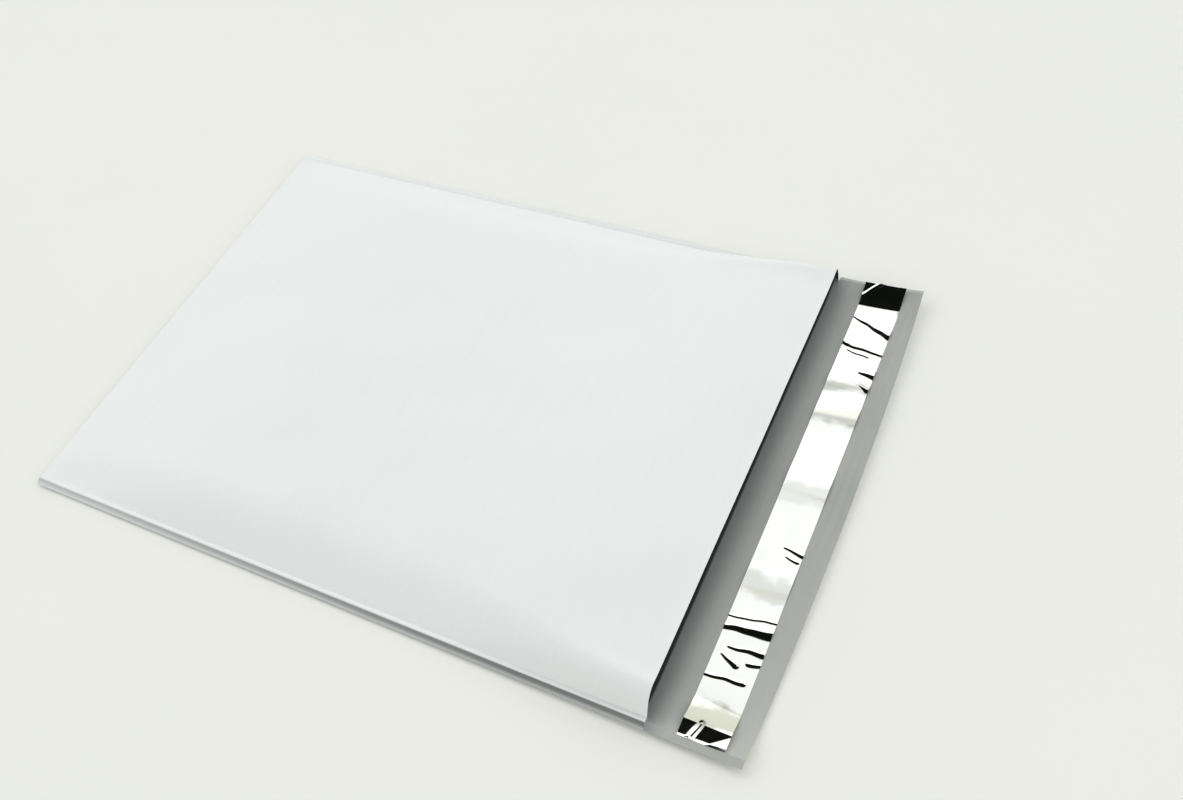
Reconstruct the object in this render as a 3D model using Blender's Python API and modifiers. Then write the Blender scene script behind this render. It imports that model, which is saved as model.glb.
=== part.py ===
"""A plastic mailing bag that lies on its back with its flap open.

The bag is one web of film, white outside and grey inside. The web is folded once, at the closed
end, and its two layers are welded along both sides, so they make a pocket that is open at the
mouth. Past the mouth the lower layer runs on as the flap. The flap carries a strip of adhesive
under a silvery release liner. The mouth gapes a little, as it does after a hand has been in it.

X runs from the closed end to the flap, Y across the bag and Z up. The origin is on the surface
that the bag lies on, under the middle of its outline. All lengths are in metres.
"""

import math

import bmesh
import bpy
import numpy as np

# Sizes of the bag
BAG_WIDTH = 0.2286
BAG_LENGTH = 0.3048
FLAP_LENGTH = 0.0405
FLAP_EDGE_BOW = 0.0028
FILM = 0.000075
WELD_WIDTH = 0.0034
WELD_TURN = math.radians(32.0)

# How far the upper layer stands off the lower one
BODY_HEIGHT = 0.0095
NEAR_MOUTH_HEIGHT = 0.0140
FAR_MOUTH_HEIGHT = 0.0122
CLOSED_END_RISE = 0.095
MOUTH_SPREAD = 0.110
NEAR_SLOPE_AT_MOUTH = 0.0085
FAR_SLOPE_AT_MOUTH = 0.0030
NEAR_SLOPE_IN_BODY = 0.022
FAR_SLOPE_IN_BODY = 0.020
SLOPE_SPREAD = 0.110
CREST_RISE = 0.0018
CREST_FROM_MOUTH = 0.024

# How high the welded seams lie, at the closed end, in the middle and at the mouth
NEAR_SEAM_HEIGHTS = (0.0022, 0.0024, 0.0036)
FAR_SEAM_HEIGHTS = (0.0021, 0.0023, 0.0024)
SEAM_CURL_WIDTH = 0.017

# How far the closed fold and the flap's two outer corners curl up
FOLD_CURL = 0.0026
FOLD_CURL_LENGTH = 0.040
NEAR_FLAP_CURL = 0.0004
FAR_FLAP_CURL = 0.0030

# The strip on the flap
LINER_WIDTH = 0.0183
LINER_FILM = 0.00005
LINER_FROM_FLAP_EDGE = 0.0100
LINER_END_GAP = 0.0026
ADHESIVE_THICKNESS = 0.0001
ADHESIVE_MARGIN = 0.0012
LAYER_GAP = 0.0003

# Cross wrinkles in the liner: place across the bag, slant, and height
LINER_WRINKLES = (
    (0.0900, -0.41, 0.0006),
    (0.0760, -0.15, 0.0005),
    (-0.0285, -0.20, 0.0005),
    (-0.0620, 0.20, 0.0006),
    (-0.0740, 0.02, 0.0004),
    (-0.0860, 0.09, 0.0004),
)
WRINKLE_WIDTH = 0.0013

# The liner's two ends, which spring up from the flap. The lengths run inwards from each end.
FAR_SPRING_LENGTH = 0.0112
FAR_SPRING_SLOPE = 0.17
NEAR_SPRING_LENGTH = 0.0067
NEAR_SPRING_HEIGHT = 0.0040
NEAR_RISE_LENGTH = 0.0120

# Rows and columns of the grids, and the bend past which an edge is shaded sharp
PANEL_CELLS = 18
FLAP_CELLS = 6
CROSS_CELLS = 26
LINER_CELLS = (5, 110)
ADHESIVE_CELLS = (2, 40)
SHARP_BEND = math.radians(40.0)

# Places worked out from the sizes
HALF_WIDTH = BAG_WIDTH / 2
FOLD_X = -(BAG_LENGTH + FLAP_LENGTH) / 2
MOUTH_X = FOLD_X + BAG_LENGTH
FLAP_END_X = MOUTH_X + FLAP_LENGTH
WELD_Y = HALF_WIDTH - WELD_WIDTH * math.cos(WELD_TURN)
LINER_X = FLAP_END_X - LINER_FROM_FLAP_EDGE - LINER_WIDTH / 2
LINER_END_Y = HALF_WIDTH - LINER_END_GAP
ADHESIVE_BASE = LAYER_GAP
LINER_BASE = ADHESIVE_BASE + ADHESIVE_THICKNESS + LAYER_GAP

COLLECTION = "poly_mailer"
WHITE_FILM = ("white_film", (0.83, 0.84, 0.85, 1.0), 0.0, 0.45)
GREY_FILM = ("grey_film", (0.36, 0.37, 0.35, 1.0), 0.0, 0.5)
ADHESIVE = ("adhesive", (0.70, 0.67, 0.55, 1.0), 0.0, 0.35)
SILVER_LINER = ("silver_liner", (0.78, 0.78, 0.77, 1.0), 1.0, 0.15)


def clear_scene():
    for thing in list(bpy.data.objects):
        bpy.data.objects.remove(thing, do_unlink=True)


def new_collection():
    collection = bpy.data.collections.new(COLLECTION)
    bpy.context.scene.collection.children.link(collection)
    return collection


def make_material(name, colour, metallic, roughness):
    material = bpy.data.materials.new(name)
    material.use_nodes = True
    shader = material.node_tree.nodes["Principled BSDF"]
    shader.inputs["Base Color"].default_value = colour
    shader.inputs["Metallic"].default_value = metallic
    shader.inputs["Roughness"].default_value = roughness
    return material


def ease_out(t):
    """Rises from 0 to 1 and arrives flat, as a parabola does at its top."""
    return 1 - (1 - np.clip(t, 0, 1)) ** 2


def fade(t):
    """Falls from 1 to 0 and arrives flat, as a curled edge does where it meets the table."""
    return (1 - np.clip(t, 0, 1)) ** 2


def smooth(t):
    """Goes from 0 to 1 with a flat start and a flat end."""
    t = np.clip(t, 0, 1)
    return t * t * (3 - 2 * t)


def seam_height(x, heights):
    """Height of a seam along the bag: lowest in the middle, and level along the flap."""
    at_fold, in_middle, at_mouth = heights
    t = (x - (FOLD_X + MOUTH_X) / 2) / (BAG_LENGTH / 2)
    toward_fold = np.clip(-t, 0, 1) ** 2
    toward_mouth = np.clip(t, 0, 1) ** 2
    return in_middle + (at_fold - in_middle) * toward_fold + (at_mouth - in_middle) * toward_mouth


def seam_drop(y):
    """How far the turned-down weld band lies below its seam's inner line."""
    return np.maximum(np.abs(y) - WELD_Y, 0) * math.tan(WELD_TURN)


def from_near_to_far(y, near_value, far_value):
    """A value that changes evenly across the bag, from the near seam to the far one."""
    return near_value + (far_value - near_value) * np.clip((y + WELD_Y) / (2 * WELD_Y), 0, 1)


def between_seams(y):
    """1 in the middle of the bag and 0 at both seams."""
    return np.clip(1 - (y / WELD_Y) ** 2, 0, 1)


def lower_layer(x, y):
    """Inner face of the lower layer: flat on the table, curling up to its seams, fold and flap."""
    near = seam_height(x, NEAR_SEAM_HEIGHTS) * fade((y + WELD_Y) / SEAM_CURL_WIDTH)
    far = seam_height(x, FAR_SEAM_HEIGHTS) * fade((WELD_Y - y) / SEAM_CURL_WIDTH)
    fold = FOLD_CURL * fade((x - FOLD_X) / FOLD_CURL_LENGTH)
    along_flap = np.clip((x - MOUTH_X) / FLAP_LENGTH, 0, 1)
    flap = from_near_to_far(y, NEAR_FLAP_CURL, FAR_FLAP_CURL) * along_flap ** 2
    curled = np.cbrt(near ** 3 + far ** 3 + fold ** 3)
    return FILM + np.maximum(curled + flap - seam_drop(y), 0)


def gape(x, y):
    """Clear height between the layers: a low cushion with a crest just inside the mouth.

    Past the crest the upper layer droops to the mouth's edge, most of all in the middle.
    """
    from_mouth = MOUTH_X - x
    mouth_height = from_near_to_far(y, NEAR_MOUTH_HEIGHT, FAR_MOUTH_HEIGHT)
    crest_rise = CREST_RISE * between_seams(y) ** 2
    opening = 1 - smooth((from_mouth - CREST_FROM_MOUTH) / MOUTH_SPREAD)
    height = BODY_HEIGHT + (mouth_height + crest_rise - BODY_HEIGHT) * opening
    height = height * ease_out((x - FOLD_X) / CLOSED_END_RISE)
    height = height - crest_rise * fade(from_mouth / CREST_FROM_MOUTH)
    spread = smooth(from_mouth / SLOPE_SPREAD)
    near_width = NEAR_SLOPE_AT_MOUTH + (NEAR_SLOPE_IN_BODY - NEAR_SLOPE_AT_MOUTH) * spread
    far_width = FAR_SLOPE_AT_MOUTH + (FAR_SLOPE_IN_BODY - FAR_SLOPE_AT_MOUTH) * spread
    near = ease_out((y + WELD_Y) / near_width)
    far = ease_out((WELD_Y - y) / far_width)
    return height * near * far


def graded(start, end, cells):
    """Lines from start to end that lie closest together at both ends."""
    t = (1 - np.cos(np.linspace(0, math.pi, cells + 1))) / 2
    return start + (end - start) * t


def film_lines():
    """The web's lines as plan places: down the upper layer, back along the lower one and the flap."""
    panel = graded(MOUTH_X, FOLD_X + FILM, PANEL_CELLS)
    flap = np.linspace(MOUTH_X, FLAP_END_X, FLAP_CELLS + 1)
    rows = np.concatenate([panel, panel[-2::-1], flap[1:]])
    pocket = graded(-WELD_Y, WELD_Y, CROSS_CELLS)
    columns = np.concatenate([[-HALF_WIDTH], pocket, [HALF_WIDTH]])
    return rows, columns


def layer_normals(layer):
    """Unit normals of one layer of the web, from the slopes along its rows and columns."""
    along = np.gradient(layer, axis=0)
    across = np.gradient(layer, axis=1)
    normal = np.cross(along, across)
    return normal / np.linalg.norm(normal, axis=2, keepdims=True)


def film_skins():
    """Places of the web's grey inner skin and white outer skin, row by row and column by column."""
    rows, columns = film_lines()
    x, y = np.meshgrid(rows, columns, indexing="ij")
    past_mouth = np.clip((x - MOUTH_X) / FLAP_LENGTH, 0, 1)
    upper = np.arange(len(rows)) <= PANEL_CELLS
    height = lower_layer(x, y) + np.where(upper[:, None], gape(x, y), 0)
    bowed_x = x - past_mouth * FLAP_EDGE_BOW * (y / HALF_WIDTH) ** 2
    inner = np.stack([bowed_x, y, height], axis=2)
    outward = np.concatenate([
        layer_normals(inner[: PANEL_CELLS + 1]),
        layer_normals(inner[PANEL_CELLS:])[1:],
    ])
    outward[upper] *= np.sign(outward[upper][:, :, 2:])
    outward[~upper] *= -np.sign(outward[~upper][:, :, 2:])
    outward[PANEL_CELLS] = (-1, 0, 0)
    return inner, inner + FILM * outward


def fuse_welds(web, inner_vert):
    """Joins the two layers in each weld band, where the hot bar has melted them into one."""
    last = max(column for _, column in inner_vert)
    bands = ((0, 1), (last - 1, last))
    mouth_row = 2 * PANEL_CELLS
    fused = {inner_vert[row, column] for row in range(mouth_row + 1) for pair in bands for column in pair}
    met = [face for face in web.faces if all(corner in fused for corner in face.verts)]
    bmesh.ops.delete(web, geom=met, context="FACES")
    joined = {}
    for row in range(PANEL_CELLS):
        for pair in bands:
            for column in pair:
                joined[inner_vert[row, column]] = inner_vert[mouth_row - row, column]
    bmesh.ops.weld_verts(web, targetmap=joined)


def make_bag(collection, white, grey):
    """Thickens a flat grid into a web with two skins, folds it into place and welds its sides.

    The grid is one unit square, so a vert's place in it gives its row and column in the web, and
    its height tells the grey inner skin from the white outer one.
    """
    inner, outer = film_skins()
    row_count, column_count = inner.shape[:2]
    web = bmesh.new()
    bmesh.ops.create_grid(web, x_segments=row_count - 1, y_segments=column_count - 1, size=0.5)
    bmesh.ops.solidify(web, geom=web.faces[:], thickness=1.0)
    inner_vert = {}
    for vert in web.verts:
        row = round((vert.co.x + 0.5) * (row_count - 1))
        column = round((vert.co.y + 0.5) * (column_count - 1))
        is_inner = abs(vert.co.z) < 0.5
        if is_inner:
            inner_vert[row, column] = vert
        vert.co = inner[row, column] if is_inner else outer[row, column]
    grey_verts = set(inner_vert.values())
    for face in web.faces:
        face.material_index = 1 if all(corner in grey_verts for corner in face.verts) else 0
    fuse_welds(web, inner_vert)
    bmesh.ops.recalc_face_normals(web, faces=web.faces[:])
    return finish_mesh("mailer_bag", web, collection, (white, grey))


def finish_mesh(name, source, collection, materials):
    mesh = bpy.data.meshes.new(name)
    source.to_mesh(mesh)
    source.free()
    for material in materials:
        mesh.materials.append(material)
    mesh.shade_smooth()
    mesh.set_sharp_from_angle(angle=SHARP_BEND)
    thing = bpy.data.objects.new(name, mesh)
    collection.objects.link(thing)
    return thing


def make_strip(name, collection, material, width, end_gap, cells, thickness, height_at):
    """A thin strip that follows the flap: a grid raised to height_at and thickened upwards."""
    strip = bmesh.new()
    bmesh.ops.create_grid(strip, x_segments=cells[0], y_segments=cells[1], size=0.5)
    length = BAG_WIDTH - 2 * end_gap
    for vert in strip.verts:
        x = LINER_X + vert.co.x * width
        y = vert.co.y * length
        vert.co = (x, y, height_at(x, y))
    thing = finish_mesh(name, strip, collection, (material,))
    solidify = thing.modifiers.new("Thickness", "SOLIDIFY")
    solidify.thickness = thickness
    solidify.offset = 1.0
    return thing


def adhesive_height(x, y):
    return float(lower_layer(x, y)) + ADHESIVE_BASE


def liner_height(x, y):
    """The flap's surface plus the layers under the liner, with its wrinkles and sprung ends.

    The far end rises evenly from its crease. The near end rises to its crease and stays level past
    it, until the flap's own curl carries it.
    """
    lift = FAR_SPRING_SLOPE * max(y - LINER_END_Y + FAR_SPRING_LENGTH, 0.0)
    for place, slant, height in LINER_WRINKLES:
        off_ridge = y - place - slant * (x - LINER_X)
        lift += height * math.exp(-((off_ridge / WRINKLE_WIDTH) ** 2))
    from_start = NEAR_SPRING_LENGTH + NEAR_RISE_LENGTH - LINER_END_Y - y
    near_spring = NEAR_SPRING_HEIGHT * min(max(from_start / NEAR_RISE_LENGTH, 0.0), 1.0)
    return max(float(lower_layer(x, y)) + LINER_BASE + lift, near_spring)


def make_adhesive(collection, material):
    width = LINER_WIDTH - 2 * ADHESIVE_MARGIN
    end_gap = LINER_END_GAP + ADHESIVE_MARGIN
    return make_strip("adhesive_strip", collection, material, width, end_gap,
                      ADHESIVE_CELLS, ADHESIVE_THICKNESS, adhesive_height)


def make_liner(collection, material):
    return make_strip("release_liner", collection, material, LINER_WIDTH, LINER_END_GAP,
                      LINER_CELLS, LINER_FILM, liner_height)


def main():
    clear_scene()
    collection = new_collection()
    make_bag(collection, make_material(*WHITE_FILM), make_material(*GREY_FILM))
    make_adhesive(collection, make_material(*ADHESIVE))
    make_liner(collection, make_material(*SILVER_LINER))


main()
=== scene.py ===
"""Looks of a white plastic mailing bag that lies open on a pale table.

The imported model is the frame. Three pieces stand for its three nodes: the bag's film, the adhesive
strip and the silver release liner. Each is a height field worked out on a fine grid, from the same
values as the model and with the small forms that the model leaves out: the hot blade's bead, the
puckers at the welds, the waves of the film and the creases of the liner.

All lengths are in metres. X runs from the closed end to the flap, Y across the bag and Z up. The
near seam is the one where Y is negative.
"""

import math

import bpy
import numpy as np
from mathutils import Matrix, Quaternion, Vector


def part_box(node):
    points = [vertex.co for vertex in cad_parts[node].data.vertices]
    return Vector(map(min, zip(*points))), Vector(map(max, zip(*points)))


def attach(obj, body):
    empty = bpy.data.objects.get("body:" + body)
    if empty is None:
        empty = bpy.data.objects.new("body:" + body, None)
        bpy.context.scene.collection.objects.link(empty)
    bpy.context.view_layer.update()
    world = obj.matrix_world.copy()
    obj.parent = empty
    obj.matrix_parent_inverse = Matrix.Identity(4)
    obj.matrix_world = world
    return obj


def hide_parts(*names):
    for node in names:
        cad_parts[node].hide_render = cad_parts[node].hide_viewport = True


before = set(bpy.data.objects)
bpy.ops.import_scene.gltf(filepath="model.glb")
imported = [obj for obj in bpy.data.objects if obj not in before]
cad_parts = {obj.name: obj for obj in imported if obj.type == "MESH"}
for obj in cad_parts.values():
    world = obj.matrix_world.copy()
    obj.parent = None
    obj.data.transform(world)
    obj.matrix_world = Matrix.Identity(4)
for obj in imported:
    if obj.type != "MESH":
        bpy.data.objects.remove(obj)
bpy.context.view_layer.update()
MM = 0.001

# Places read from the model
BAG_LOW, BAG_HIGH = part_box("mailer_bag")
LINER_LOW, LINER_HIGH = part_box("release_liner")
ADHESIVE_LOW, ADHESIVE_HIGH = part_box("adhesive_strip")
FOLD_X = BAG_LOW.x
FLAP_END_X = BAG_HIGH.x
LINER_X = (LINER_LOW.x + LINER_HIGH.x) / 2
LINER_HALF_WIDTH = (LINER_HIGH.x - LINER_LOW.x) / 2
LINER_END_Y = LINER_HIGH.y
ADHESIVE_HALF_WIDTH = (ADHESIVE_HIGH.x - ADHESIVE_LOW.x) / 2
ADHESIVE_END_Y = ADHESIVE_HIGH.y

# Sizes of the film, as in the model
HALF_WIDTH = 114.3 * MM
FLAP_LENGTH = 40.5 * MM
FLAP_EDGE_BOW = 2.8 * MM
FILM = 0.075 * MM
WELD_WIDTH = 3.4 * MM
WELD_TURN = math.radians(32.0)
MOUTH_X = FLAP_END_X - FLAP_LENGTH
BAG_LENGTH = MOUTH_X - FOLD_X
WELD_Y = HALF_WIDTH - WELD_WIDTH * math.cos(WELD_TURN)

# How far the upper layer stands off the lower one, as in the model
BODY_HEIGHT = 9.5 * MM
NEAR_MOUTH_HEIGHT = 14.0 * MM
FAR_MOUTH_HEIGHT = 12.2 * MM
CLOSED_END_RISE = 95 * MM
MOUTH_SPREAD = 110 * MM
NEAR_SLOPE_AT_MOUTH = 8.5 * MM
FAR_SLOPE_AT_MOUTH = 3.0 * MM
NEAR_SLOPE_IN_BODY = 22 * MM
FAR_SLOPE_IN_BODY = 20 * MM
SLOPE_SPREAD = 110 * MM
CREST_RISE = 1.8 * MM
CREST_FROM_MOUTH = 24 * MM

# Heights of the seams at the closed end, in the middle and at the mouth, and the curls
NEAR_SEAM_HEIGHTS = (2.2 * MM, 2.4 * MM, 3.6 * MM)
FAR_SEAM_HEIGHTS = (2.1 * MM, 2.3 * MM, 2.4 * MM)
SEAM_CURL_WIDTH = 17 * MM
FOLD_CURL = 2.6 * MM
FOLD_CURL_LENGTH = 40 * MM
NEAR_FLAP_CURL = 0.4 * MM
FAR_FLAP_CURL = 3.0 * MM

# Small forms that only show in the looks. The layers lie on each other over a margin inside the
# welds, so the pocket ends there. Strips that are stuck on lie a hair off what is below, by STUCK.
WELD_MARGIN = 1.3 * MM
POCKET_Y = WELD_Y - WELD_MARGIN
SHOULDER_POWER = 2.5
PANEL_WAVE = 0.20 * MM
FLAP_WAVE = 0.22 * MM
FLAP_WAVE_SLANT = 0.25
PUCKER = 0.07 * MM
PUCKER_REACH = 4.5 * MM
LIP_CURL = 0.30 * MM
LIP_CURL_LENGTH = 0.9 * MM
BEAD = 0.10 * MM
BEAD_WIDTH = 0.45 * MM
ADHESIVE_THICKNESS = 0.10 * MM
ADHESIVE_EDGE_SHARE = 0.35
ADHESIVE_WANDER = 0.25 * MM
LINER_FILM = 0.05 * MM
STUCK = 0.02 * MM

# Uneven waves, each with the lengths of its sines and its seed. The panel's start with how much of
# X and of Y their direction takes.
PANEL_WAVES = (
    (1.0, 0.35, (93 * MM, 58 * MM), 11),
    (-0.2, 1.0, (74 * MM, 45 * MM), 12),
    (1.0, -0.9, (121 * MM, 66 * MM), 13),
)
FLAP_WAVES = ((118 * MM, 63 * MM, 37 * MM), 3)
NEAR_PUCKER_WAVES = ((7.1 * MM, 11.9 * MM, 23 * MM), 21)
FAR_PUCKER_WAVES = ((8.3 * MM, 13.1 * MM, 27 * MM), 22)
ADHESIVE_WAVES = ((9 * MM, 17 * MM, 31 * MM), 31)

# Grids: rows along the web and columns across it, and the cells across and along each strip. A
# bend sharper than SHARP_BEND is shaded as an edge.
PANEL_CELLS = 132
FLAP_CELLS = 36
POCKET_CELLS = 116
MARGIN_CELLS = 3
WELD_CELLS = 6
BAND_CELLS = MARGIN_CELLS + WELD_CELLS
LINER_CELLS = (52, 900)
ADHESIVE_CELLS = (16, 300)
SHARP_BEND = math.radians(40.0)

# The liner's creases: start and end as (across the strip, along it) and the width at each, in mm.
# Each is a low ridge, and its side toward the bag's near seam mirrors the dark gap overhead.
CREASES = (
    (-9.0, 104.9, -1.5, 111.9, 1.00, 1.30),
    (-8.8, 94.0, 8.9, 86.6, 0.75, 2.20),
    (-9.2, 79.0, -7.6, 78.4, 1.40, 1.10),
    (-6.3, 77.9, 8.9, 75.2, 1.10, 0.85),
    (-6.0, 75.0, 3.4, 72.8, 0.55, 0.60),
    (2.6, 64.4, 9.0, 63.6, 0.80, 2.10),
    (0.0, 59.4, 8.6, 55.2, 0.50, 0.90),
    (1.2, -26.6, 9.6, -28.4, 0.45, 0.85),
    (3.0, -30.2, 7.8, -31.6, 0.40, 0.65),
    (-9.2, -60.9, 9.4, -58.0, 0.35, 0.42),
    (-9.2, -65.0, 9.5, -62.6, 0.90, 1.70),
    (-4.3, -72.6, 8.5, -71.4, 0.45, 0.95),
    (-5.8, -76.2, 0.4, -78.8, 0.35, 0.90),
    (4.8, -76.8, 9.3, -75.8, 0.70, 0.55),
    (-9.2, -85.7, 5.5, -84.4, 0.45, 0.70),
    (-2.2, -104.6, -4.4, -111.7, 1.00, 1.30),
)
CREASE_STEEPNESS = 0.42
CREASE_WOBBLE = 0.30 * MM
CREASE_WOBBLE_LENGTHS = (7.7 * MM, 12.1 * MM, 19.0 * MM)
CREASE_SEED = 1000

# The liner's lines lie closer around its creases: how many times, how far past them, and the steps
# in which that is worked out
LINES_NEAR_CREASES = 3.0
CREASE_SURROUND = 2.5 * MM
LINE_STEPS = 4000

# Broad low swells of the liner, which show as soft grey bands: place along it, width and slant in
# mm, and steepness
SWELLS = (
    (56.0, 3.6, -0.6, 0.180),
    (38.5, 4.4, 0.5, 0.160),
    (3.0, 6.5, -0.4, 0.112),
    (-43.0, 6.6, 0.8, 0.059),
)

# Past this line the liner's near outer corner turns up: its distance from the strip's middle at
# the end, how it leans along the strip, and how steeply the corner rises
CORNER_LINE = (1.5 * MM, 0.75)
CORNER_SLOPE = 0.22

# The liner's two ends spring up from the flap. The lengths run inwards from each end.
FAR_SPRING_LENGTH = 11.2 * MM
FAR_SPRING_SLOPE = 0.17
NEAR_SPRING_LENGTH = 6.7 * MM
NEAR_SPRING_HEIGHT = 4.0 * MM
NEAR_SPRING_FALL = 0.05
NEAR_RISE_LENGTH = 12.0 * MM
NEAR_RISE_POWER = 1.3

# The grey line painted in each weld band as shade, for the dark crevice under the lifted edge: how
# far past the weld line it sets in, its width at the fold and near the mouth, how far it fades toward
# the cut edge, the place from which it is at its full, and its strength at the fold and at the far
# seam, where full is 1
SEAM_SHADE_START = (0.2 * MM, 0.8 * MM)
SEAM_SHADE_WIDTHS = (1.0 * MM, 1.6 * MM)
SEAM_SHADE_FADE = 1.4 * MM
SEAM_SHADE_FULL_X = 80 * MM
SEAM_SHADE_AT_FOLD = 0.45
SEAM_SHADE_AT_FAR_SEAM = 0.2
BLADE_RIB_SPACING = 0.85 * MM

# Painted shade and light on the grey film. Places along the bag count from the mouth's edge, and
# inwards is negative: from where to where the lip's painted shadow on the flap fades out, where the
# painted shade under the lip sets in, where that painted shade turns lighter again deep in the
# pocket, and where the upper layer ends. What lies higher than UPPER_LAYER_ABOVE is the upper layer.
# The grey is painted lighter from one place across the bag to the other, toward the near seam, where
# less shade falls.
LIP_SHADOW_ON_FLAP = (-2.0 * MM, 9.0 * MM)
LIP_SHADE_START = (-1.6 * MM, -2.4 * MM)
DEEP_SHADE = (-5.0 * MM, -45.0 * MM)
UPPER_LAYER_END = 0.3 * MM
UPPER_LAYER_ABOVE = (3.5 * MM, 4.5 * MM)
NEAR_LIGHT_FROM_TO = (-10 * MM, -105 * MM)
NEAR_LIGHT_SHARE = 0.55

# Olive-grey bands painted across the liner as darker reflection: from and to along it in mm, and how
# much. The bands' soft edges wander with a slow noise.
PAINTED_REFLECTION_BANDS = (
    (54.5, 57.0, 0.70),
    (36.5, 39.5, 0.70),
    (-5.0, 2.0, 0.30),
    (-48.0, -43.0, 0.40),
    (-104.0, -99.5, 1.00),
)
REFLECTION_BAND_WANDER = 16 * MM
REFLECTION_BAND_SOFTNESS = 3.5 * MM

# The camera, with its lens and sensor in mm, and the table
CAMERA_PLACE = (0.2270, -0.2219, 0.3878)
CAMERA_TARGET = (0.05115, 0.01339, 0.0)
CAMERA_ROLL = math.radians(-14.37)
CAMERA_LENS = 33.46
CAMERA_SENSOR = 36.0
CAMERA_SEES_FROM = 10 * MM
TABLE_HALF_SIZE = 40.0
TABLE_DROP = 0.15 * MM

# The studio: a pale dome with its strength at the horizon and from DOME_SHOULDER up, a thin glow
# along the horizon with its upper limit and strength, lamps as round patches with their place, the
# cosine at their edge, colour and strength, and one dark gap overhead with a faintly yellow rim.
# Each limit is a direction's x, y or z.
DOME_COLOUR = "#E8EAEC"
DOME_STRENGTHS = (0.52, 1.38)
DOME_SHOULDER = 0.60
HORIZON_GLOW = (0.13, 0.52)
LAMPS = (
    ((-0.25, 0.84, 0.48), 0.85, "#FFFFFF", 0.91),
    ((0.85, 0.00, 0.53), 0.60, "#FFFFFF", 0.22),
    ((-0.85, 0.10, 0.50), 0.60, "#FFFFFF", 0.66),
)
GAP_COLOUR = "#10120E"
GAP_X = (-0.66, 0.22)
GAP_Y = (-0.50, 0.262)
GAP_SOFTNESS = 0.030
RIM_COLOUR = "#EDEDDA"
RIM_WIDTH = 0.022

# Sockets of a Mix node that mixes colours: its share, its two colours and its result
SHARE, FROM, TO, RESULT = 0, 6, 7, 2


def ease_out(t):
    """Rises from 0 to 1 and arrives flat: 1 less the square of what is left."""
    return 1 - (1 - np.clip(t, 0, 1)) ** 2


def shoulder(t):
    """Rises from 0 to 1 as steeply as ease_out, with a longer and softer arrival: 1 less a higher
    power of what is left."""
    length = SHOULDER_POWER / 2
    return 1 - (1 - np.clip(t / length, 0, 1)) ** SHOULDER_POWER


def fade(t):
    """Falls from 1 to 0 and arrives flat: the square of what is left."""
    return (1 - np.clip(t, 0, 1)) ** 2


def smooth(t):
    """Goes from 0 to 1 with a flat start and end: three t squared less two t cubed."""
    t = np.clip(t, 0, 1)
    return t * t * (3 - 2 * t)


def waves(along, lengths, seed):
    """An uneven wave from -1 to 1: the mean of sines of the given lengths, each with its own start."""
    starts = np.random.default_rng(seed).uniform(0, 2 * math.pi, len(lengths))
    return sum(np.sin(2 * math.pi * along / length + start)
               for length, start in zip(lengths, starts)) / len(lengths)


def seam_height(x, heights):
    """Height of a seam along the bag: two half parabolas that meet in the middle."""
    at_fold, in_middle, at_mouth = heights
    t = (x - (FOLD_X + MOUTH_X) / 2) / (BAG_LENGTH / 2)
    toward_fold = np.clip(-t, 0, 1) ** 2
    toward_mouth = np.clip(t, 0, 1) ** 2
    return in_middle + (at_fold - in_middle) * toward_fold + (at_mouth - in_middle) * toward_mouth


def seam_drop(y):
    """How far the weld band, turned down past the weld line, lies below that line."""
    return np.maximum(np.abs(y) - WELD_Y, 0) * math.tan(WELD_TURN)


def from_near_to_far(y, near_value, far_value):
    """A value that changes evenly across the bag, from the near seam to the far one."""
    return near_value + (far_value - near_value) * np.clip((y + WELD_Y) / (2 * WELD_Y), 0, 1)


def between_seams(y):
    """1 in the middle of the bag and 0 at both seams: 1 less the square of y over the half width."""
    return np.clip(1 - (y / WELD_Y) ** 2, 0, 1)


def flap_waves(x, y):
    """Low waves of the flap, which grow from nothing at the mouth to FLAP_WAVE at its edge, as the
    power 1.5 of the way there."""
    along_flap = np.clip((x - MOUTH_X) / FLAP_LENGTH, 0, 1)
    wave = waves(y + FLAP_WAVE_SLANT * x, *FLAP_WAVES)
    return FLAP_WAVE * (1 + wave) * along_flap ** 1.5


def lower_layer(x, y):
    """Inner face of the lower layer and the flap.

    The two seams' curls and the fold's curl, each a parabola, meet as the cube root of the sum of
    their cubes. The flap's own curl and waves come on top, and the weld bands turn down from there.
    """
    near = seam_height(x, NEAR_SEAM_HEIGHTS) * fade((y + WELD_Y) / SEAM_CURL_WIDTH)
    far = seam_height(x, FAR_SEAM_HEIGHTS) * fade((WELD_Y - y) / SEAM_CURL_WIDTH)
    fold = FOLD_CURL * fade((x - FOLD_X) / FOLD_CURL_LENGTH)
    along_flap = np.clip((x - MOUTH_X) / FLAP_LENGTH, 0, 1)
    flap = from_near_to_far(y, NEAR_FLAP_CURL, FAR_FLAP_CURL) * along_flap ** 2
    curled = np.cbrt(near ** 3 + far ** 3 + fold ** 3)
    return FILM + np.maximum(curled + flap + flap_waves(x, y) - seam_drop(y), 0)


def panel_waves(x, y):
    """Long faint waves of the upper layer: the sum of waves in three directions, which dies out at the
    seams."""
    wave = sum(waves(of_x * x + of_y * y, lengths, seed) for of_x, of_y, lengths, seed in PANEL_WAVES)
    return PANEL_WAVE * wave * between_seams(y)


def puckers(x, y):
    """Short puckers that run in from both welds, and fade as d e^(1-d) with d the distance in reaches."""
    near = np.clip((y + POCKET_Y) / PUCKER_REACH, 0, None)
    far = np.clip((POCKET_Y - y) / PUCKER_REACH, 0, None)
    near_wave = waves(x, *NEAR_PUCKER_WAVES)
    far_wave = waves(x, *FAR_PUCKER_WAVES)
    return PUCKER * (near_wave * near * np.exp(1 - near) + far_wave * far * np.exp(1 - far))


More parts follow.
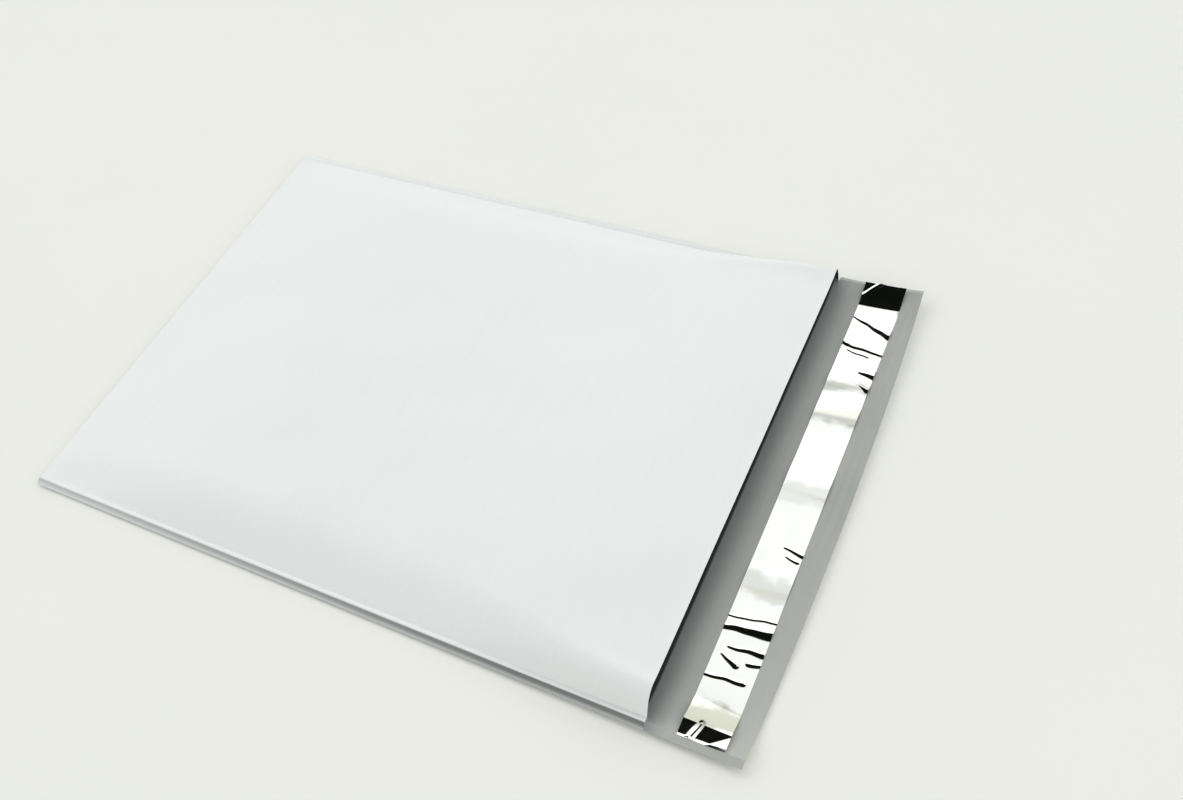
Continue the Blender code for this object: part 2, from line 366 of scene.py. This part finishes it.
def gape(x, y):
    """Clear height between the layers: a low cushion with a crest just inside the mouth.

    The height along the bag is an ease-out from the fold, then a smooth rise to the crest, and from
    there a parabola that droops to the mouth's edge, most of all in the middle. The lip itself curls
    up as e to the distance from its edge. Across the bag the height is cut down by a shoulder from
    each side of the pocket, whose slope is short at the mouth and long in the body. The waves and
    puckers are full from where the ease-out is half done.
    """
    from_mouth = MOUTH_X - x
    mouth_height = from_near_to_far(y, NEAR_MOUTH_HEIGHT, FAR_MOUTH_HEIGHT)
    crest_rise = CREST_RISE * between_seams(y) ** 2
    opening = 1 - smooth((from_mouth - CREST_FROM_MOUTH) / MOUTH_SPREAD)
    height = BODY_HEIGHT + (mouth_height + crest_rise - BODY_HEIGHT) * opening
    rise = ease_out((x - FOLD_X) / CLOSED_END_RISE)
    height = height * rise - crest_rise * fade(from_mouth / CREST_FROM_MOUTH)
    height = height + LIP_CURL * np.exp(-from_mouth / LIP_CURL_LENGTH)
    spread = smooth(from_mouth / SLOPE_SPREAD)
    near_width = NEAR_SLOPE_AT_MOUTH + (NEAR_SLOPE_IN_BODY - NEAR_SLOPE_AT_MOUTH) * spread
    far_width = FAR_SLOPE_AT_MOUTH + (FAR_SLOPE_IN_BODY - FAR_SLOPE_AT_MOUTH) * spread
    near = shoulder((y + POCKET_Y) / near_width)
    far = shoulder((POCKET_Y - y) / far_width)
    fine = (panel_waves(x, y) + puckers(x, y)) * np.clip(rise * 2, 0, 1)
    return height * near * far + fine * np.minimum(near, far)


def graded(start, end, cells, cosine_share=0.45):
    """Lines from start to end, part evenly spaced and part as a cosine, so closer at both ends."""
    even = np.linspace(0, 1, cells + 1)
    t = (1 - cosine_share) * even + cosine_share * (1 - np.cos(even * math.pi)) / 2
    return start + (end - start) * t


def web_lines():
    """The web's rows as places along the bag, down the upper layer and back along the lower one
    and the flap, and its columns as places across it."""
    panel = graded(MOUTH_X, FOLD_X + FILM, PANEL_CELLS)
    flap = np.linspace(MOUTH_X, FLAP_END_X, FLAP_CELLS + 1)
    rows = np.concatenate([panel, panel[-2::-1], flap[1:]])
    margin = np.linspace(POCKET_Y, WELD_Y, MARGIN_CELLS + 1)
    band = np.concatenate([margin, np.linspace(WELD_Y, HALF_WIDTH, WELD_CELLS + 1)[1:]])
    columns = np.concatenate([-band[::-1], graded(-POCKET_Y, POCKET_Y, POCKET_CELLS)[1:-1], band])
    return rows, columns


def surface_normals(places):
    """Unit normals of a grid of places: the cross product of its slopes along rows and columns."""
    normal = np.cross(np.gradient(places, axis=0), np.gradient(places, axis=1))
    return normal / np.linalg.norm(normal, axis=2, keepdims=True)


def web_skins():
    """The web's grey inner skin, and its white outer skin one film further along the normal.

    At the fold that is straight out along X. Along the cut edges of the upper layer a bead, a bell
    over the distance from the edge, makes the film thicker. The flap's edge lies back by the square
    of the place across the bag, and the outer skin never goes below the table.
    """
    rows, columns = web_lines()
    x, y = np.meshgrid(rows, columns, indexing="ij")
    past_mouth = np.clip((x - MOUTH_X) / FLAP_LENGTH, 0, 1)
    upper = np.arange(len(rows)) <= PANEL_CELLS
    height = lower_layer(x, y) + np.where(upper[:, None], gape(x, y), 0)
    bowed_x = x - past_mouth * FLAP_EDGE_BOW * (y / HALF_WIDTH) ** 2
    inner = np.stack([bowed_x, y, height], axis=2)
    outward = np.concatenate([
        surface_normals(inner[: PANEL_CELLS + 1]),
        surface_normals(inner[PANEL_CELLS:])[1:],
    ])
    outward[upper] *= np.sign(outward[upper][:, :, 2:])
    outward[~upper] *= -np.sign(outward[~upper][:, :, 2:])
    outward[PANEL_CELLS] = (-1, 0, 0)
    bead = BEAD * np.exp(-(((HALF_WIDTH - np.abs(y)) / BEAD_WIDTH) ** 2))
    outer = inner + (FILM + bead * upper[:, None])[:, :, None] * outward
    outer[:, :, 2] = np.maximum(outer[:, :, 2], 0)
    return inner, outer


def cells_of(index):
    """Corner indices of a grid's cells, turned so that they face up where x falls and y rises."""
    return np.stack([index[:-1, :-1], index[:-1, 1:], index[1:, 1:], index[1:, :-1]], axis=-1)


def wall(one, other):
    """Cells of the narrow wall between two lines of vertices."""
    return np.stack([one[:-1], one[1:], other[1:], other[:-1]], axis=-1)


def web_faces(row_count, column_count):
    """Faces of the closed web, white ones first, and how many are white.

    In the welds and their margins the upper layer's inner skin is dropped, and its vertices are
    those of the lower layer, which fuses the two layers there. Walls close the web along all its
    cut edges.
    """
    outer = np.arange(row_count * column_count).reshape(row_count, column_count)
    inner = outer + row_count * column_count
    mouth_row = 2 * PANEL_CELLS
    column = np.arange(column_count)
    in_band = (column <= BAND_CELLS) | (column >= column_count - 1 - BAND_CELLS)
    lower_rows = mouth_row - np.arange(PANEL_CELLS)
    inner[:PANEL_CELLS, in_band] = inner[lower_rows][:, in_band]
    kept = np.ones((row_count - 1, column_count - 1), bool)
    kept[:mouth_row] = ~(in_band[:-1] & in_band[1:])
    white = np.concatenate([
        cells_of(outer).reshape(-1, 4),
        wall(outer[:, 0], inner[:, 0]),
        wall(inner[:, -1], outer[:, -1]),
        wall(inner[0], outer[0]),
        wall(outer[-1], inner[-1]),
    ])
    grey = cells_of(inner)[kept][:, ::-1]
    return np.concatenate([white, grey]), len(white)


def new_piece(name, places, faces, materials, first_faces=None):
    """Makes a mesh object from arrays of places and faces. Faces past first_faces take the second
    material. Vertices that no face uses are left out."""
    used, corners = np.unique(faces, return_inverse=True)
    mesh = bpy.data.meshes.new(name)
    mesh.vertices.add(len(used))
    mesh.vertices.foreach_set("co", places[used].astype(np.float32).ravel())
    mesh.loops.add(faces.size)
    mesh.loops.foreach_set("vertex_index", corners.astype(np.int32).ravel())
    mesh.polygons.add(len(faces))
    mesh.polygons.foreach_set("loop_start", np.arange(0, faces.size, 4, dtype=np.int32))
    mesh.update(calc_edges=True)
    for material in materials:
        mesh.materials.append(material)
    if first_faces is not None:
        slot = (np.arange(len(faces)) >= first_faces).astype(np.int32)
        mesh.polygons.foreach_set("material_index", slot)
    mesh.validate()
    mesh.shade_smooth()
    mesh.set_sharp_from_angle(angle=SHARP_BEND)
    piece = bpy.data.objects.new(name, mesh)
    bpy.context.scene.collection.objects.link(piece)
    return piece


def closed_strip(name, low, high, material):
    """A closed strip between two grids of places, its underside and its top side."""
    row_count, column_count = low.shape[:2]
    under = np.arange(row_count * column_count).reshape(row_count, column_count)
    over = under + row_count * column_count
    faces = np.concatenate([
        cells_of(under).reshape(-1, 4),
        cells_of(over).reshape(-1, 4)[:, ::-1],
        wall(under[:, 0], over[:, 0]),
        wall(over[:, -1], under[:, -1]),
        wall(over[0], under[0]),
        wall(under[-1], over[-1]),
    ])
    places = np.concatenate([low.reshape(-1, 3), high.reshape(-1, 3)])
    return new_piece(name, places, faces, [material])


def make_film(white, grey):
    """The bag's web as one closed shell, white outside and grey inside."""
    inner, outer = web_skins()
    row_count, column_count = inner.shape[:2]
    faces, white_count = web_faces(row_count, column_count)
    places = np.concatenate([outer.reshape(-1, 3), inner.reshape(-1, 3)])
    return new_piece("bag_film", places, faces, [white, grey], white_count)


def make_adhesive(material):
    """The hot melt: a strip on the flap whose edges wander a little.

    Its top is crowned: a share of its thickness at the edges, and from there the root of 1 less the
    fourth power of the place across.
    """
    across, along = np.meshgrid(
        np.linspace(-1, 1, ADHESIVE_CELLS[0] + 1),
        np.linspace(-ADHESIVE_END_Y, ADHESIVE_END_Y, ADHESIVE_CELLS[1] + 1),
        indexing="ij")
    wander = ADHESIVE_WANDER * waves(along, *ADHESIVE_WAVES)
    x = LINER_X + across * (ADHESIVE_HALF_WIDTH - ADHESIVE_WANDER) + wander * np.abs(across)
    under = lower_layer(x, along) + STUCK
    arch = np.sqrt(np.clip(1 - across ** 4, 0, 1))
    crown = ADHESIVE_THICKNESS * (ADHESIVE_EDGE_SHARE + (1 - ADHESIVE_EDGE_SHARE) * arch)
    low = np.stack([x, along, under], axis=2)
    high = np.stack([x, along, under + crown], axis=2)
    return closed_strip("hot_melt_strip", low, high, material)


def crease_height(x, y):
    """The liner's creases: ridges of bell section whose height is CREASE_STEEPNESS times their width.

    A ridge's line wobbles with uneven waves, and past its two ends it dies out as a bell.
    """
    height = np.zeros_like(x)
    for x0, y0, x1, y1, width0, width1 in CREASES:
        start = np.array([x0, y0]) * MM
        run = np.array([x1, y1]) * MM - start
        length = np.linalg.norm(run)
        along = ((x - LINER_X - start[0]) * run[0] + (y - start[1]) * run[1]) / length
        off = ((y - start[1]) * run[0] - (x - LINER_X - start[0]) * run[1]) / length
        share = np.clip(along / length, 0, 1)
        width = (width0 + (width1 - width0) * share) * MM
        past = np.maximum(np.maximum(-along, along - length), 0)
        ends = np.exp(-((past / width) ** 2))
        wobble = CREASE_WOBBLE * waves(along, CREASE_WOBBLE_LENGTHS, int(CREASE_SEED + y0))
        height += CREASE_STEEPNESS * width * ends * np.exp(-(((off + wobble) / width) ** 2))
    return height


def swell_height(x, y):
    """Broad bells across the liner, steep enough to dim its reflection and no more."""
    height = np.zeros_like(x)
    for place, width, slant, steepness in SWELLS:
        off = y / MM - place - slant * (x - LINER_X) / LINER_HALF_WIDTH
        height += steepness * width * MM * np.exp(-((off / width) ** 2))
    return height


def corner_height(x, y):
    """The near outer corner, which rises evenly past a slanting line."""
    start, lean = CORNER_LINE
    past = (x - LINER_X - start) - (y + LINER_END_Y) / lean
    return CORNER_SLOPE * lean * np.maximum(past, 0)


def liner_surface(x, y):
    """Underside of the liner: it lies on the adhesive, but for its creases, swells and sprung ends.

    The far end rises evenly from its crease. The near end rises to its crease as a power of the way
    there, and then falls a little, until the flap's own curl carries it.
    """
    resting = lower_layer(x, y) + ADHESIVE_THICKNESS + 2 * STUCK
    far_lift = FAR_SPRING_SLOPE * np.maximum(y - LINER_END_Y + FAR_SPRING_LENGTH, 0)
    past_start = NEAR_SPRING_LENGTH + NEAR_RISE_LENGTH - LINER_END_Y - y
    past_crease = np.maximum(past_start - NEAR_RISE_LENGTH, 0)
    risen = np.clip(past_start / NEAR_RISE_LENGTH, 0, 1) ** NEAR_RISE_POWER
    near_spring = (NEAR_SPRING_HEIGHT - NEAR_SPRING_FALL * past_crease) * risen
    fine = crease_height(x, y) + corner_height(x, y)
    return np.maximum(resting + swell_height(x, y) + far_lift, near_spring) + fine


def liner_lines():
    """Places of the lines across the liner: LINES_NEAR_CREASES times as close around its creases."""
    y = np.linspace(-LINER_END_Y, LINER_END_Y, LINE_STEPS + 1)
    density = np.ones_like(y)
    for _, y0, _, y1, _, _ in CREASES:
        middle = (y0 + y1) / 2 * MM
        reach = abs(y1 - y0) / 2 * MM + CREASE_SURROUND
        density[np.abs(y - middle) < reach] = LINES_NEAR_CREASES
    share = np.cumsum(density)
    share = (share - share[0]) / (share[-1] - share[0])
    return np.interp(np.linspace(0, 1, LINER_CELLS[1] + 1), share, y)


def make_liner(material):
    """The release liner: a thin closed strip over the adhesive."""
    x, y = np.meshgrid(
        np.linspace(LINER_X - LINER_HALF_WIDTH, LINER_X + LINER_HALF_WIDTH, LINER_CELLS[0] + 1),
        liner_lines(),
        indexing="ij")
    z = liner_surface(x, y)
    low = np.stack([x, y, z], axis=2)
    high = np.stack([x, y, z + LINER_FILM], axis=2)
    return closed_strip("silver_liner_strip", low, high, material)


def linear(code):
    """An sRGB hex colour as linear RGBA."""
    values = [int(code[i:i + 2], 16) / 255 for i in (1, 3, 5)]
    return tuple(v / 12.92 if v <= 0.04045 else ((v + 0.055) / 1.055) ** 2.4 for v in values) + (1.0,)


def fill(tree, node, inputs):
    """Gives each named input a value, or a link from a socket or from a node's first output."""
    for name, value in inputs.items():
        if isinstance(value, bpy.types.Node):
            value = value.outputs[0]
        if isinstance(value, bpy.types.NodeSocket):
            tree.links.new(value, node.inputs[name])
        else:
            node.inputs[name].default_value = value


def add(tree, kind, inputs=None, **settings):
    """Adds one shader node with its settings and fills its inputs."""
    node = tree.nodes.new("ShaderNode" + kind)
    for name, value in settings.items():
        setattr(node, name, value)
    fill(tree, node, inputs or {})
    return node


def between(tree, value, low, high, softness):
    """1 where the value lies between low and high, and 0 beyond, with soft edges outside them."""
    rise = add(tree, "MapRange", {"Value": value, "From Min": low - softness, "From Max": low},
               interpolation_type="SMOOTHSTEP")
    fall = add(tree, "MapRange", {"Value": value, "From Min": high + softness, "From Max": high},
               interpolation_type="SMOOTHSTEP")
    return add(tree, "Math", {0: rise, 1: fall}, operation="MULTIPLY")


def new_material(name):
    """A material with only its Principled shader, and the Object coordinates its patterns read."""
    material = bpy.data.materials.new(name)
    material.use_nodes = True
    tree = material.node_tree
    shader = tree.nodes["Principled BSDF"]
    place = add(tree, "TexCoord").outputs["Object"]
    return material, tree, shader, place


def white_polyethylene():
    """Blown low-density polyethylene, white with titanium dioxide: satin, with faint die lines.

    The die lines run across the bag, because the web was drawn that way. In the weld bands a grey line
    is painted as shade, for the dark crevice under the lifted edge: strongest at the near seam and
    toward the mouth, and fading toward the cut edge. The hot blade's fine ribs there are a bump. The
    grain is drawn coarser than the real one, which is too fine to show.
    """
    die_line = 2.38 * MM
    times_as_long = 20
    cloud = 45.5 * MM
    grain_size = 0.625 * MM
    material, tree, shader, place = new_material("white_blown_polyethylene_film")
    stretched = add(tree, "Mapping", {"Vector": place, "Scale": (1.0, 1 / times_as_long, 1.0)})
    die_lines = add(tree, "TexNoise", {"Vector": stretched, "Scale": 1 / die_line, "Detail": 3.0})
    clouds = add(tree, "TexNoise", {"Vector": place, "Scale": 1 / cloud, "Detail": 4.0})
    grain = add(tree, "TexNoise", {"Vector": place, "Scale": 1 / grain_size, "Detail": 2.0})
    tone = add(tree, "Math", {0: die_lines, 1: clouds}, operation="ADD")
    tone = add(tree, "MapRange", {"Value": tone, "From Min": 0.7, "From Max": 1.3})
    body = add(tree, "Mix", {SHARE: tone, FROM: linear("#E7E9E7"), TO: linear("#EAEBE8")},
               data_type="RGBA")

    axes = add(tree, "SeparateXYZ", {"Vector": place})
    off_axis = add(tree, "Math", {0: axes.outputs["Y"]}, operation="ABSOLUTE")
    # Painted shade: a grey line in the weld bands stands for the dark crevice under the lifted edge.
    weld = add(tree, "MapRange",
               {"Value": off_axis, "From Min": WELD_Y + SEAM_SHADE_START[0],
                "From Max": WELD_Y + SEAM_SHADE_START[1]},
               interpolation_type="SMOOTHSTEP")
    toward_mouth = add(tree, "MapRange",
                       {"Value": axes.outputs["X"], "From Min": FOLD_X, "From Max": SEAM_SHADE_FULL_X,
                        "To Min": SEAM_SHADE_AT_FOLD})
    toward_near = add(tree, "MapRange",
                      {"Value": axes.outputs["Y"], "From Min": WELD_Y, "From Max": -WELD_Y,
                       "To Min": SEAM_SHADE_AT_FAR_SEAM})
    seam_shade_strength = add(tree, "Math", {0: toward_mouth, 1: toward_near}, operation="MULTIPLY")
    seam_shade = add(tree, "Math", {0: weld, 1: seam_shade_strength}, operation="MULTIPLY")
    line_width = add(tree, "MapRange",
                     {"Value": axes.outputs["X"], "From Min": FOLD_X, "From Max": SEAM_SHADE_FULL_X,
                      "To Min": SEAM_SHADE_WIDTHS[0], "To Max": SEAM_SHADE_WIDTHS[1]})
    past_line = add(tree, "Math", {0: off_axis, 1: line_width}, operation="SUBTRACT")
    to_edge = add(tree, "MapRange",
                  {"Value": past_line, "From Min": WELD_Y, "From Max": WELD_Y + SEAM_SHADE_FADE})
    seam_shade_colour = add(tree, "Mix", {SHARE: to_edge, FROM: linear("#727571"), TO: linear("#BDBFBC")},
                  data_type="RGBA")
    colour = add(tree, "Mix",
                 {SHARE: seam_shade, FROM: body.outputs[RESULT], TO: seam_shade_colour.outputs[RESULT]},
                 data_type="RGBA")

    rib = add(tree, "Math", {0: off_axis, 1: 2 * math.pi / BLADE_RIB_SPACING}, operation="MULTIPLY")
    rib = add(tree, "Math", {0: rib}, operation="SINE")
    ribs = add(tree, "Math", {0: rib, 1: weld}, operation="MULTIPLY")
    texture = add(tree, "Math", {0: grain, 1: die_lines}, operation="ADD")
    relief = add(tree, "Math", {0: texture, 1: ribs}, operation="ADD")
    bump = add(tree, "Bump", {"Height": relief, "Strength": 0.35, "Distance": 0.012 * MM})
    gloss = add(tree, "MapRange", {"Value": clouds, "To Min": 0.36, "To Max": 0.48})
    fill(tree, shader, {"Base Color": colour.outputs[RESULT], "Roughness": gloss, "Normal": bump,
                        "IOR": 1.51})
    return material


def grey_polyethylene():
    """The grey inner layer of the same film, filled with carbon black: duller, with clearer die lines.

    It is painted lighter toward the near seam, where less shade falls on the flap, and painted darker
    on the flap next to the mouth, as the lip's shadow. Under the lip and on the upper layer it is
    painted nearly black, as shade where little light gets, and less dark deep in the pocket.
    The grain is drawn coarser than the real one, as on the white side.
    """
    die_line = 1.92 * MM
    times_as_long = 25
    cloud = 26.3 * MM
    grain_size = 0.667 * MM
    material, tree, shader, place = new_material("grey_blown_polyethylene_film")
    stretched = add(tree, "Mapping", {"Vector": place, "Scale": (1.0, 1 / times_as_long, 1.0)})
    die_lines = add(tree, "TexNoise", {"Vector": stretched, "Scale": 1 / die_line, "Detail": 4.0})
    clouds = add(tree, "TexNoise", {"Vector": place, "Scale": 1 / cloud, "Detail": 3.0})
    grain = add(tree, "TexNoise", {"Vector": place, "Scale": 1 / grain_size, "Detail": 2.0})
    tone = add(tree, "Math", {0: die_lines, 1: clouds}, operation="ADD")
    tone = add(tree, "MapRange", {"Value": tone, "From Min": 0.6, "From Max": 1.4})
    body = add(tree, "Mix", {SHARE: tone, FROM: linear("#9DA09A"), TO: linear("#AAABA4")},
               data_type="RGBA")

    axes = add(tree, "SeparateXYZ", {"Vector": place})
    # Painted light: the grey is lighter toward the near seam, where less shade falls on the flap.
    painted_light_share = add(tree, "MapRange",
                 {"Value": axes.outputs["Y"], "From Min": NEAR_LIGHT_FROM_TO[0],
                  "From Max": NEAR_LIGHT_FROM_TO[1], "To Max": NEAR_LIGHT_SHARE})
    body = add(tree, "Mix", {SHARE: painted_light_share, FROM: body.outputs[RESULT], TO: linear("#BFC0B8")},
               data_type="RGBA")
    # Painted shadow: the flap next to the mouth is darker, as the lip's shadow on it.
    out_of_lip_shadow = add(tree, "MapRange",
                  {"Value": axes.outputs["X"], "From Min": MOUTH_X + LIP_SHADOW_ON_FLAP[0],
                   "From Max": MOUTH_X + LIP_SHADOW_ON_FLAP[1]},
                  interpolation_type="SMOOTHSTEP")
    body = add(tree, "Mix", {SHARE: out_of_lip_shadow, FROM: linear("#888A88"), TO: body.outputs[RESULT]},
               data_type="RGBA")

    # Painted shade: under the lip and on the upper layer the grey is nearly black, less dark deep in the
    # pocket.
    under_lip = add(tree, "MapRange",
                    {"Value": axes.outputs["X"], "From Min": MOUTH_X + LIP_SHADE_START[0],
                     "From Max": MOUTH_X + LIP_SHADE_START[1]})
    high = add(tree, "MapRange",
               {"Value": axes.outputs["Z"], "From Min": UPPER_LAYER_ABOVE[0],
                "From Max": UPPER_LAYER_ABOVE[1]})
    inside = add(tree, "Math", {0: axes.outputs["X"], 1: MOUTH_X + UPPER_LAYER_END},
                 operation="LESS_THAN")
    upper_layer = add(tree, "Math", {0: high, 1: inside}, operation="MULTIPLY")
    shade = add(tree, "Math", {0: under_lip, 1: upper_layer}, operation="MAXIMUM")
    depth = add(tree, "MapRange",
                {"Value": axes.outputs["X"], "From Min": MOUTH_X + DEEP_SHADE[0],
                 "From Max": MOUTH_X + DEEP_SHADE[1]})
    shadow = add(tree, "Mix", {SHARE: depth, FROM: linear("#2C2D2B"), TO: linear("#6A6C69")},
                 data_type="RGBA")
    colour = add(tree, "Mix",
                 {SHARE: shade, FROM: body.outputs[RESULT], TO: shadow.outputs[RESULT]},
                 data_type="RGBA")

    texture = add(tree, "Math", {0: grain, 1: die_lines}, operation="ADD")
    bump = add(tree, "Bump", {"Height": texture, "Strength": 0.4, "Distance": 0.015 * MM})
    fill(tree, shader, {"Base Color": colour.outputs[RESULT], "Normal": bump, "Roughness": 0.5,
                        "IOR": 1.51})
    return material


def hot_melt():
    """Pressure-sensitive hot melt, slot coated: pale straw, wet looking, with coating lines along it.

    The lines are drawn coarser than the real ones, which are too fine to show.
    """
    coating_line = 1.11 * MM
    times_as_long = 20
    material, tree, shader, place = new_material("slot_coated_hot_melt")
    stretched = add(tree, "Mapping", {"Vector": place, "Scale": (1.0, 1 / times_as_long, 1.0)})
    lines = add(tree, "TexNoise", {"Vector": stretched, "Scale": 1 / coating_line, "Detail": 2.0})
    colour = add(tree, "Mix", {SHARE: lines, FROM: linear("#D3CCAE"), TO: linear("#DED9C2")},
                 data_type="RGBA")
    bump = add(tree, "Bump", {"Height": lines, "Strength": 0.5, "Distance": 0.02 * MM})
    fill(tree, shader, {"Base Color": colour.outputs[RESULT], "Normal": bump, "Roughness": 0.22,
                        "IOR": 1.48})
    return material


def metallised_polyester():
    """Polyester film with a skin of evaporated aluminium: a soft mirror with a fine crackle in it.

    A few bands across the web are painted olive-grey, as darker reflection. They wander with a slow
    noise, about its mean of a half. The crackle is drawn coarser than the real one, which is too fine
    to show.
    """
    crackle_size = 1.43 * MM
    drift_size = 16.7 * MM
    material, tree, shader, place = new_material("metallised_polyester_film")
    crackle = add(tree, "TexNoise", {"Vector": place, "Scale": 1 / crackle_size, "Detail": 3.0})
    drift = add(tree, "TexNoise", {"Vector": place, "Scale": 1 / drift_size, "Detail": 3.0})
    bright = add(tree, "Mix", {SHARE: drift, FROM: linear("#E4E4DF"), TO: linear("#EEEEEA")},
                 data_type="RGBA")
    along = add(tree, "SeparateXYZ", {"Vector": place}).outputs["Y"]
    wandering = add(tree, "Math", {0: drift, 1: REFLECTION_BAND_WANDER, 2: along}, operation="MULTIPLY_ADD")
    mean_wander = REFLECTION_BAND_WANDER / 2
    # Painted reflection: olive-grey bands where the liner's reflection is darker.
    painted_reflection = 0.0
    for low, high, amount in PAINTED_REFLECTION_BANDS:
        band = between(tree, wandering, low * MM + mean_wander, high * MM + mean_wander,
                       REFLECTION_BAND_SOFTNESS)
        painted_reflection = add(tree, "Math", {0: band, 1: amount, 2: painted_reflection}, operation="MULTIPLY_ADD")
    colour = add(tree, "Mix", {SHARE: painted_reflection, FROM: bright.outputs[RESULT], TO: linear("#A3A497")},
                 data_type="RGBA")
    haze = add(tree, "MapRange", {"Value": drift, "To Min": 0.05, "To Max": 0.10})
    bump = add(tree, "Bump", {"Height": crackle, "Strength": 0.25, "Distance": 0.03 * MM})
    fill(tree, shader, {"Base Color": colour.outputs[RESULT], "Roughness": haze, "Normal": bump,
                        "Metallic": 1.0})
    return material


def ivory_card():
    """Matt ivory card that covers the table: pressed pulp, nearly even, with a faint cloudiness."""
    cloud = 200 * MM
    material, tree, shader, place = new_material("matt_ivory_card")
    clouds = add(tree, "TexNoise", {"Vector": place, "Scale": 1 / cloud, "Detail": 3.0})
    colour = add(tree, "Mix", {SHARE: clouds, FROM: linear("#ECEDE4"), TO: linear("#F0F0E7")},
                 data_type="RGBA")
    fill(tree, shader, {"Base Color": colour.outputs[RESULT], "Roughness": 0.9})
    return material


def make_table(material):
    """A flat sheet just under the bag, wide enough to reach the horizon of every view."""
    side = TABLE_HALF_SIZE
    places = np.array([(-side, -side, -TABLE_DROP), (side, -side, -TABLE_DROP),
                       (side, side, -TABLE_DROP), (-side, side, -TABLE_DROP)])
    return new_piece("table", places, np.array([[0, 1, 2, 3]]), [material])


def lamp(tree, direction, place, edge_cosine, colour, strength):
    """Light from a round patch of sky: full at its place, and none past its edge."""
    facing = add(tree, "VectorMath", {0: direction, 1: Vector(place).normalized()},
                 operation="DOT_PRODUCT")
    share = add(tree, "MapRange",
                {"Value": facing.outputs["Value"], "From Min": edge_cosine, "To Max": strength},
                interpolation_type="SMOOTHSTEP")
    return add(tree, "VectorMath", {0: linear(colour)[:3], "Scale": share}, operation="SCALE")


def make_studio():
    """Soft light from all round: dome, glow and lamps add up, and the gap and its rim cover them.

    A direction is in the gap where its x and its y both lie between the gap's limits and it points
    up. The liner mirrors the gap in its creases and at both ends, and the rim in its swells.
    """
    world = bpy.data.worlds.new("soft_studio")
    bpy.context.scene.world = world
    world.use_nodes = True
    tree = world.node_tree
    direction = add(tree, "TexCoord").outputs["Generated"]
    axes = add(tree, "SeparateXYZ", {"Vector": direction})
    dome = add(tree, "MapRange",
               {"Value": axes.outputs["Z"], "From Max": DOME_SHOULDER,
                "To Min": DOME_STRENGTHS[0], "To Max": DOME_STRENGTHS[1]},
               interpolation_type="SMOOTHSTEP")
    glow = add(tree, "MapRange",
               {"Value": axes.outputs["Z"], "From Min": HORIZON_GLOW[0], "From Max": 0.0,
                "To Max": HORIZON_GLOW[1]},
               interpolation_type="SMOOTHSTEP")
    strength = add(tree, "Math", {0: dome, 1: glow}, operation="ADD")
    light = add(tree, "VectorMath", {0: linear(DOME_COLOUR)[:3], "Scale": strength}, operation="SCALE")
    for settings in LAMPS:
        light = add(tree, "VectorMath", {0: light, 1: lamp(tree, direction, *settings)},
                    operation="ADD")
    across = between(tree, axes.outputs["X"], *GAP_X, GAP_SOFTNESS)
    overhead = add(tree, "Math", {0: axes.outputs["Z"], 1: 0.0}, operation="GREATER_THAN")
    across = add(tree, "Math", {0: across, 1: overhead}, operation="MULTIPLY")
    for widened, colour in ((RIM_WIDTH, RIM_COLOUR), (0.0, GAP_COLOUR)):
        along = between(tree, axes.outputs["Y"], GAP_Y[0], GAP_Y[1] + widened, GAP_SOFTNESS)
        cover = add(tree, "Math", {0: across, 1: along}, operation="MULTIPLY")
        light = add(tree, "Mix", {SHARE: cover, FROM: light, TO: linear(colour)},
                    data_type="RGBA").outputs[RESULT]
    fill(tree, tree.nodes["Background"], {"Color": light, "Strength": 1.0})


def make_camera():
    """The photo's camera: from the near side of the flap, looking down at the bag, and rolled."""
    data = bpy.data.cameras.new("camera")
    data.lens = CAMERA_LENS
    data.sensor_width = CAMERA_SENSOR
    data.clip_start = CAMERA_SEES_FROM
    camera = bpy.data.objects.new("camera", data)
    bpy.context.scene.collection.objects.link(camera)
    camera.location = CAMERA_PLACE
    look = Vector(CAMERA_TARGET) - Vector(CAMERA_PLACE)
    roll = Quaternion((0, 0, 1), CAMERA_ROLL)
    camera.rotation_mode = "QUATERNION"
    camera.rotation_quaternion = look.to_track_quat("-Z", "Y") @ roll
    bpy.context.scene.camera = camera


def dress(piece, node):
    """Puts a finished piece in the place of the model's node."""
    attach(piece, "root")
    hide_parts(node)


def main():
    """Builds the set and the three pieces. Standard tones keep the film's whites as bright as given."""
    make_camera()
    make_studio()
    make_table(ivory_card())
    dress(make_film(white_polyethylene(), grey_polyethylene()), "mailer_bag")
    dress(make_adhesive(hot_melt()), "adhesive_strip")
    dress(make_liner(metallised_polyester()), "release_liner")
    bpy.context.scene.view_settings.view_transform = "Standard"


main()
